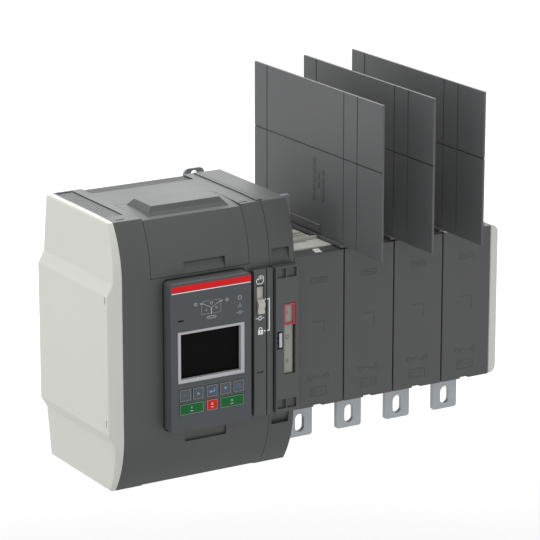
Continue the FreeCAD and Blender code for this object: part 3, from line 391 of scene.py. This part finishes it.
def bar(x, z, width, height):
    w, h = width / 2, height / 2
    return patch([(x - w, z - h), (x + w, z - h), (x + w, z + h), (x - w, z + h)])


def around(x, z, radius, start=0, end=360, steps=20, squeeze=1.0):
    """Points on a circle or an arc of it, anticlockwise."""
    last = steps if end - start < 360 else steps - 1
    angles = [math.radians(start + (end - start) * i / steps) for i in range(last + 1)]
    return [(x + radius * math.cos(a), z + radius * squeeze * math.sin(a)) for a in angles]


def ring(x, z, radius, width, squeeze=1.0):
    return line(around(x, z, radius, squeeze=squeeze), width, closed=True)


def dot(x, z, radius):
    return patch(around(x, z, radius, steps=14))


def frame_line(x0, x1, z0, z1, width, corner=0.0):
    """A rectangle's outline, its corners rounded where corner isn't nought."""
    if not corner:
        return line([(x0, z0), (x1, z0), (x1, z1), (x0, z1)], width, closed=True)
    points = []
    for x, z, start in ((x1 - corner, z0 + corner, -90), (x1 - corner, z1 - corner, 0),
                        (x0 + corner, z1 - corner, 90), (x0 + corner, z0 + corner, 180)):
        points += around(x, z, corner, start, start + 90, 4)
    return line(points, width, closed=True)


# %% [markdown]
# A drawing becomes a piece in three steps: its points are lifted onto a face of the switch, modifiers
# give it body, and it is hung on the body that carries it, so it moves with that body's joint.

# %% From a drawing to a piece
INK = 0.06      # how proud a printed mark stands, in millimetres


def add_piece(name, points, faces, skin, body, stack=()):
    """Link a mesh given in millimetres, dress it, stack its modifiers and hang it on its body."""
    mesh = bpy.data.meshes.new(name)
    mesh.from_pydata([[c * MM for c in p] for p in points], [], faces)
    mesh.materials.append(finish[skin])
    piece = bpy.data.objects.new(name, mesh)
    bpy.context.scene.collection.objects.link(piece)
    for kind, settings in stack:
        modifier = piece.modifiers.new(kind.lower(), kind)
        for key, value in settings.items():
            setattr(modifier, key, value)
    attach(piece, body)
    return piece


def merge(shapes):
    """Several drawings as one list of points and one of faces."""
    points, faces = [], []
    for some, more in shapes:
        faces += [tuple(len(points) + i for i in face) for face in more]
        points += some
    return points, faces


def on_front(name, shapes, y, skin, body, rise=INK, bevel=0.0):
    """A drawing on a face that looks forward: it stands rise proud of the plane y."""
    points, faces = merge(shapes)
    stack = [("SOLIDIFY", {"thickness": (rise + 0.04) * MM, "offset": -1.0})]
    if bevel:
        stack.append(("BEVEL", {"width": bevel * MM, "segments": 1, "limit_method": "ANGLE"}))
    return add_piece(name, [(x, y - rise, z) for x, z in points], faces, skin, body, stack)


# %% [markdown]
# ## Operator panel
# A red inlay crosses the head of the panel with a white line under it. Below it are a small diagram
# of the two supplies and the load, three status marks, and the key outlines. Names and words are
# left off: signs that any switchgear carries take their places.

# %% Red inlay
low, high = box_mm("panel_bezel")
PANEL_Y = low[1]
stripe_left, stripe_right = low[0] + 0.9, high[0] - 0.9
STRIPE_Z = (54.0, 59.2)
middle = (stripe_left + stripe_right) / 2
span = stripe_right - stripe_left
on_front("panel_stripe", [bar(middle, sum(STRIPE_Z) / 2, span, STRIPE_Z[1] - STRIPE_Z[0])],
         PANEL_Y, "ink_red", "panel", rise=0.12)
on_front("panel_stripe_line", [bar(middle, STRIPE_Z[0] - 0.3, span, 0.6)],
         PANEL_Y, "ink_white", "panel", rise=0.12)
print("inlay spans", round(span, 1), "mm")

# %% [markdown]
# A thin black outline in the groove between the panel and the shell is painted shade for the shadow gap
# there.
# It stays with the shell when the panel comes off.

# %% Painted gap shade
# painted shade: a black outline round the panel stands for the shadow in the gap between panel and shell
gap_shade_outline = frame_line(low[0] - 0.6, high[0] + 0.6, low[2] - 0.6, high[2] + 0.6, 0.9, corner=4.0)
shell_front = box_mm("drive_housing")[0][1]
on_front("panel_painted_gap_shade", [gap_shade_outline], shell_front + 1.66, "inner_plastic", "switch", rise=0.1)

# %% [markdown]
# The diagram shows two supplies that meet in one load. It is thin printing, so it is drawn in the
# plane. The dim box and the brighter lines over it are two pieces, because they are two inks.

# %% Supply diagram
MIMIC_X = -175.1
on_front("mimic_box", [
    line([(-176.6, 32.6), (-184.4, 32.6), (-184.4, 41.6)], 0.4),
    line([(-173.6, 32.6), (-166.3, 32.6), (-166.3, 41.6)], 0.4),
    line([(-184.4, 43.6), (-177.0, 43.6)], 0.4), line([(-173.4, 43.6), (-166.3, 43.6)], 0.4),
], PANEL_Y, "ink_outline", "panel")
on_front("mimic_lines", [
    bar(MIMIC_X, 34.8, 1.1, 6.0),
    line([(-175.1, 37.4), (-182.2, 41.2)], 0.45), line([(-175.1, 37.4), (-168.2, 41.2)], 0.45),
    line([(-182.6, 41.4), (-185.8, 42.0)], 1.0), line([(-167.8, 41.4), (-164.6, 42.0)], 1.0),
    ring(-190.0, 42.0, 1.25, 0.5), bar(-190.0, 42.0, 1.1, 0.45),
    ring(-160.4, 42.0, 1.25, 0.5), bar(-160.4, 42.0, 1.1, 0.45),
    bar(-180.0, 35.9, 0.6, 2.0),
    bar(-170.9, 36.8, 0.5, 2.0), bar(-169.7, 36.8, 0.5, 2.0),
    ring(MIMIC_X, 41.3, 1.0, 0.45, squeeze=1.1),
    frame_line(-178.6, -171.6, 28.5, 30.3, 0.55), line([(-180.2, 29.4), (-178.6, 29.4)], 0.5),
    line([(-171.6, 29.4), (-170.0, 29.4)], 0.5),
], PANEL_Y, "ink_pale", "panel")


# %% [markdown]
# Three small marks stand in a column at the right. The turning arrow is a helper of its own, because
# the selector strip has a larger one.

# %% Status marks
def loop_arrow(x, z, radius, wing, width):
    """A turning arrow between two dashes, for automatic working."""
    points = around(x, z, radius, 60, 375, 14)
    tip = points[0]
    head = [(tip[0] - 0.4 * width, tip[1] + 1.5 * width), (tip[0] - 0.4 * width, tip[1] - 1.5 * width),
            (tip[0] + 2.0 * width, tip[1] + 0.2 * width)]
    dashes = [bar(x + side * (radius + 0.9 + wing / 2), z, wing, width) for side in (-1, 1)]
    return [line(points, width), patch(head), *dashes]


STATUS_X = -148.2
on_front("status_marks", [
    line(around(STATUS_X, 42.0, 1.7, 115, 425, 14), 0.5), bar(STATUS_X, 43.4, 0.5, 1.7),
    *loop_arrow(STATUS_X, 29.2, 1.1, 1.5, 0.45),
], PANEL_Y, "ink_pale", "panel")
on_front("warning_mark", [
    line([(STATUS_X - 1.8, 33.9), (STATUS_X + 1.8, 33.9), (STATUS_X, 37.1)], 0.4, closed=True),
    bar(STATUS_X, 35.3, 0.35, 1.2),
], PANEL_Y, "ink_outline", "panel")


# %% [markdown]
# ## Keys
# Each key cap has a thin printed outline and a sign. Both ride on the key, so they go in with it
# when it is pressed.

# %% Key outlines and signs
def key_signs(name, x, z):
    if name == "up":
        return "ink_blue", [patch([(x - 1.4, z - 1.1), (x + 1.4, z - 1.1), (x, z + 1.3)])]
    if name == "down":
        return "ink_blue", [patch([(x - 1.4, z + 1.1), (x, z - 1.3), (x + 1.4, z + 1.1)])]
    if name == "enter":
        return "ink_blue", [line([(x + 2.4, z + 1.9), (x + 2.4, z - 0.6), (x - 1.0, z - 0.6)], 0.75),
                            patch([(x - 2.7, z - 0.6), (x - 0.8, z - 2.0), (x - 0.8, z + 0.9)])]
    if name == "escape":
        return "ink_dim_blue", [line([(x - 1.9, z), (x + 2.1, z)], 0.5),
                                line([(x - 0.7, z + 1.1), (x - 2.1, z), (x - 0.7, z - 1.1)], 0.5)]
    if name == "menu":
        return "ink_dim_blue", [bar(x, z + 1.5, 5.6, 0.6), bar(x, z, 5.6, 0.6), bar(x, z - 1.5, 5.6, 0.6)]
    word = bar(x, z - 1.9, 2.6, 0.45)
    if name == "source_one":
        return "ink_key", [bar(x, z + 0.9, 0.5, 1.7), word]
    if name == "source_two":
        return "ink_key", [bar(x - 0.5, z + 0.9, 0.4, 1.7), bar(x + 0.5, z + 0.9, 0.4, 1.7), word]
    return "ink_key", [ring(x, z + 0.9, 0.7, 0.4, squeeze=1.15), word]


for name in [n for n in nodes if n.startswith("key_")]:
    low, high = box_mm(name)
    key = name[4:]
    # the box takes in the hidden flange behind the cap, which is 0.8 mm wider all round
    x0, x1 = low[0] + 0.8, high[0] - 0.8
    z0, z1 = low[2] + 0.75, high[2] - 0.75
    outline = frame_line(x0 + 0.35, x1 - 0.35, z0 + 0.35, z1 - 0.35, 0.4)
    on_front(name + "_outline", [outline], low[1], "ink_outline", name)
    skin, signs = key_signs(key, (x0 + x1) / 2, (z0 + z1) / 2)
    on_front(name + "_sign", signs, low[1], skin, name)
print("eight keys printed")

# %% [markdown]
# ## Selector strip
# The strip says where the slider stands: a hand at the top for manual working, a turning arrow for
# automatic, and a padlock lower down. A white bracket ties the padlock to the slider's upper place.

# %% Selector marks
low, high = box_mm("selector_panel")
SELECTOR_Y = low[1]
MARK_X = -125.4
hand = [
    line([(MARK_X - 2.6, 48.6), (MARK_X - 3.6, 51.6), (MARK_X - 2.4, 53.2), (MARK_X - 1.0, 52.0)], 0.55),
    line([(MARK_X - 1.0, 52.0), (MARK_X - 0.9, 55.4)], 0.55),
    line([(MARK_X + 0.4, 52.4), (MARK_X + 0.5, 56.0)], 0.55),
    line([(MARK_X + 1.8, 52.4), (MARK_X + 1.9, 55.8)], 0.55),
    line([(MARK_X + 3.2, 52.0), (MARK_X + 3.3, 54.8)], 0.55),
    line([(MARK_X - 2.6, 48.6), (MARK_X + 1.6, 48.6), (MARK_X + 3.4, 50.6), (MARK_X + 3.2, 52.2)], 0.55),
]
on_front("hand_mark", hand, SELECTOR_Y, "ink_white", "switch")
on_front("auto_mark", loop_arrow(MARK_X, 18.9, 1.5, 1.6, 0.6),
         SELECTOR_Y, "ink_white", "switch")
LOCK_X = -125.0
on_front("padlock_mark", [
    bar(LOCK_X, 6.7, 4.6, 3.9), line(around(LOCK_X, 9.2, 1.5, 0, 180, 8), 0.7),
    bar(LOCK_X - 1.5, 8.9, 0.7, 0.8), bar(LOCK_X + 1.5, 8.9, 0.7, 0.8),
], SELECTOR_Y, "ink_white", "switch")
on_front("padlock_keyhole", [dot(LOCK_X, 7.1, 0.55), bar(LOCK_X, 6.3, 0.4, 1.3)],
         SELECTOR_Y - INK, "ink_dark", "switch")
BRACKET_X = -116.5
knob_right = box_mm("selector_knob")[1][0]      # the upper dot stays clear of the sliding knob
on_front("selector_bracket", [
    line([(BRACKET_X - 2.1, 34.6), (BRACKET_X, 34.6), (BRACKET_X, 7.3), (BRACKET_X - 2.1, 7.3)], 0.9),
    dot(-121.0, 7.3, 0.7), dot(knob_right + 0.8, 34.6, 0.55),
], SELECTOR_Y, "ink_white", "switch")

# %% [markdown]
# ## Position window
# The grey strip carries the three places of the shaft, I, O and II. The red frame slides over it.
# Black blocks beside the steel padlock bar keep it in line.

# %% Position marks and blocks
low, high = box_mm("indicator_strip")
STRIP_Y = low[1]
POSITION_X = (low[0] + high[0]) / 2 - 0.6
on_front("position_marks", [
    bar(POSITION_X, 20.2, 0.7, 3.4),
    ring(POSITION_X, -1.2, 1.4, 0.6, squeeze=1.15),
    bar(POSITION_X - 0.75, -22.2, 0.6, 3.2), bar(POSITION_X + 0.75, -22.2, 0.6, 3.2),
], STRIP_Y, "ink_dark", "switch")
low, high = box_mm("padlock_bar")
block_x = low[0] - 1.5
blocks = [bar(block_x, z, 1.9, 3.2) for z in (-6.6, -2.5, 1.6)]
on_front("padlock_blocks", blocks, -154.2, "inner_plastic", "switch", rise=1.2, bevel=0.25)

# %% [markdown]
# ## Pole covers
# Every cover is moulded with the same faint relief: a sign for the load at the top, a corner line
# for the contact, and signs for the supplies at the foot. One drawing is made for the first pole,
# and an Array carries it over the other three at the pitch of the poles.

# %% Relief on the covers
low, high = box_mm("pole_cover_1")
COVER_Y = low[1]
pole_x = (low[0] + high[0]) / 2
PITCH = (box_mm("pole_cover_2")[0][0] - low[0])
relief_signs = [
    frame_line(pole_x - 7.4, pole_x + 7.4, 38.9, 43.1, 0.8),
    line([(pole_x - 4.6, 41.0), (pole_x + 4.6, 41.0)], 0.8),
    line([(pole_x - 6.0, 5.0), (pole_x + 5.6, 5.0), (pole_x + 5.6, -4.2)], 0.6),
    patch([(pole_x + 4.4, -4.2), (pole_x + 5.6, -6.4), (pole_x + 6.8, -4.2)]),
    ring(pole_x - 8.2, -44.0, 2.1, 0.8), ring(pole_x + 8.2, -44.0, 2.1, 0.8),
    line([(pole_x - 5.4, -44.0), (pole_x - 2.7, -42.8), (pole_x, -44.0), (pole_x + 2.7, -45.2),
          (pole_x + 5.4, -44.0)], 0.8),
    line([(pole_x - 1.6, -53.4), (pole_x - 8.0, -53.4), (pole_x - 8.0, -60.6), (pole_x + 8.0, -60.6),
          (pole_x + 8.0, -53.4), (pole_x + 1.6, -53.4)], 0.6),
    bar(pole_x - 3.9, -57.0, 4.0, 2.2), bar(pole_x + 3.9, -57.0, 4.0, 2.2), dot(pole_x, -53.0, 0.8),
]
cover_relief = on_front("cover_relief", relief_signs, COVER_Y, "pole_cover_plastic", "switch",
                        rise=0.22)
repeat = cover_relief.modifiers.new("array", "ARRAY")
repeat.count = 4
repeat.use_relative_offset = False
repeat.use_constant_offset = True
repeat.constant_offset_displace = (PITCH * MM, 0.0, 0.0)
print("covers repeat every", round(PITCH, 2), "mm")


# %% [markdown]
# ## Barrier marks
# Each barrier carries a short notice on the side that faces the controller. Here it is three columns
# of plain raised bars. Thin dark strips along the floor of the break-off grooves are painted shade.

# %% Notice and painted groove shade on the barriers
def on_left_side(name, shapes, x, skin, body, rise):
    """A drawing on a face that looks to -X. It is drawn as y, z, so its faces are turned over."""
    points, faces = merge(shapes)
    faces = [tuple(reversed(face)) for face in faces]
    stack = [("SOLIDIFY", {"thickness": (rise + 0.04) * MM, "offset": -1.0})]
    return add_piece(name, [(x - rise, y, z) for y, z in points], faces, skin, body, stack)


GROOVE_FLOOR = 0.5          # how deep the break-off grooves are cut
GROOVE_Z = 142.4
GROOVES_Y = (-20.9, -145.4, -166.4)
# three columns of plain bars: where each stands, and the lower and upper end of each bar in it
NOTICE = {
    -98.9: ((97.0, 103.0), (104.6, 110.4), (112.0, 118.4), (120.0, 126.0), (127.6, 134.5)),
    -106.0: ((109.0, 114.6), (116.2, 122.4)),
    -113.1: ((98.0, 104.0), (105.6, 111.0), (112.6, 119.0), (120.6, 126.4)),
}
for number in (1, 2, 3):
    low, high = box_mm("phase_barrier_%d" % number)
    body = "barrier_%d" % number
    face_x = (low[0] + high[0]) / 2 - 1.0
    notice = [bar(y, (z0 + z1) / 2, 3.6, z1 - z0) for y, ends in NOTICE.items() for z0, z1 in ends]
    on_left_side(body + "_notice", notice, face_x, "barrier_notice", body, rise=0.2)
    # painted shade: thin dark strips laid in the break-off grooves stand for the shadow inside them
    shade = [bar(y, (76.0 + high[2]) / 2, 0.8, high[2] - 76.6) for y in GROOVES_Y]
    shade.append(bar((low[1] + high[1]) / 2, GROOVE_Z, high[1] - low[1] - 0.6, 0.8))
    on_left_side(body + "_painted_groove_shade", shade, face_x + GROOVE_FLOOR, "inner_plastic", body,
                 rise=0.03)

# %% [markdown]
# ## Vent lattices
# Air leaves through two fine lattices let into the top. Modelling each square hole as a cut would be
# slow and heavy. A flat grid does it instead: every cell is a ring of four faces round its hole, and
# a Solidify modifier gives all the bars their depth at once.

# %% Lattices
LATTICE_DEPTH = 0.8
LATTICE_GAP = 0.4          # clearance between a lattice and the edge of its opening
CORNERS = ((-1, -1), (1, -1), (1, 1), (-1, 1))


def lattice(name, x0, x1, y0, y1, z, across, along, share):
    """Bars between x0, x1, y0 and y1; share is how much of each cell's width its hole takes."""
    wide, deep = (x1 - x0) / across, (y1 - y0) / along
    points = [(x0 + wide * i, y0 + deep * j, z) for j in range(along + 1) for i in range(across + 1)]
    faces = []
    for j in range(along):
        for i in range(across):
            a = j * (across + 1) + i
            outer = (a, a + 1, a + across + 2, a + across + 1)
            first = len(points)
            middle_x, middle_y = x0 + wide * (i + 0.5), y0 + deep * (j + 0.5)
            w, d = wide * share / 2, deep * share / 2
            points += [(middle_x + sx * w, middle_y + sy * d, z) for sx, sy in CORNERS]
            for k in range(4):
                n = (k + 1) % 4
                faces.append((outer[k], outer[n], first + n, first + k))
    stack = [("SOLIDIFY", {"thickness": LATTICE_DEPTH * MM, "offset": -1.0})]
    piece = add_piece(name, points, faces, "grille_plastic", "switch", stack)
    print(name, across * along, "holes")
    return piece


top = box_mm("side_cover")[1][2]
SEAM = box_mm("control_housing")[1][0]
LEFT_VENT = (SEAM + 24.2 - 160.0, SEAM + 24.2 - 144.0, -115.5, -26.5)
REAR_VENT = (SEAM + 24.2 - 134.5, SEAM + 24.2 - 36.5, -42.5, -24.0)


def let_in(name, opening, z, across, along, share):
    """A lattice that fills an opening of the top, less its clearance."""
    x0, x1, y0, y1 = opening
    gap = LATTICE_GAP
    return lattice(name, x0 + gap, x1 - gap, y0 + gap, y1 - gap, z, across, along, share)


left_lattice = let_in("left_vent_lattice", LEFT_VENT, top - 0.7, 6, 32, 0.54)
let_in("rear_vent_lattice", REAR_VENT, top - 1.2, 34, 7, 0.68)
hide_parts("vent_grilles")

# %% [markdown]
# ## Screws at the back
# The rear plate is held by four pan-head screws. A pan head is a turned shape, so a few points of its
# profile and a Screw modifier make it. The profile is spun at the world's origin, and the finished
# head is then laid on its back and put in place in the mesh itself.

# %% Pan-head screws
def pan_head(name, x, y, z, radius, body):
    profile = [(0.0, 0.62), (0.5, 0.6), (0.82, 0.45), (0.97, 0.22), (1.0, 0.0)]
    mesh = bpy.data.meshes.new(name)
    mesh.from_pydata([(r * radius * MM, 0.0, h * radius * MM) for r, h in profile], [],
                     [(i, i + 1) for i in range(len(profile) - 1)])
    spun = bpy.data.objects.new(name, mesh)
    bpy.context.scene.collection.objects.link(spun)
    screw = spun.modifiers.new("screw", "SCREW")
    screw.steps = screw.render_steps = 24
    screw.use_merge_vertices = True
    screw.merge_threshold = 0.01 * MM
    bpy.context.view_layer.update()
    turned = bpy.data.meshes.new_from_object(spun.evaluated_get(bpy.context.evaluated_depsgraph_get()))
    bpy.data.objects.remove(spun)
    points = [(v.co.x / MM + x, v.co.z / MM + y, -v.co.y / MM + z) for v in turned.vertices]
    faces = [tuple(p.vertices) for p in turned.polygons]
    bpy.data.meshes.remove(turned)
    return add_piece(name, points, faces, "zinc_hardware", body)


low, high = box_mm("rear_plate")
for number, (x, z) in enumerate(((low[0] + 8, low[2] + 8), (high[0] - 8, low[2] + 8),
                                 (low[0] + 8, high[2] - 8), (high[0] - 8, high[2] - 8)), 1):
    pan_head("rear_screw_%d" % number, x, high[1], z, 3.0, "switch")
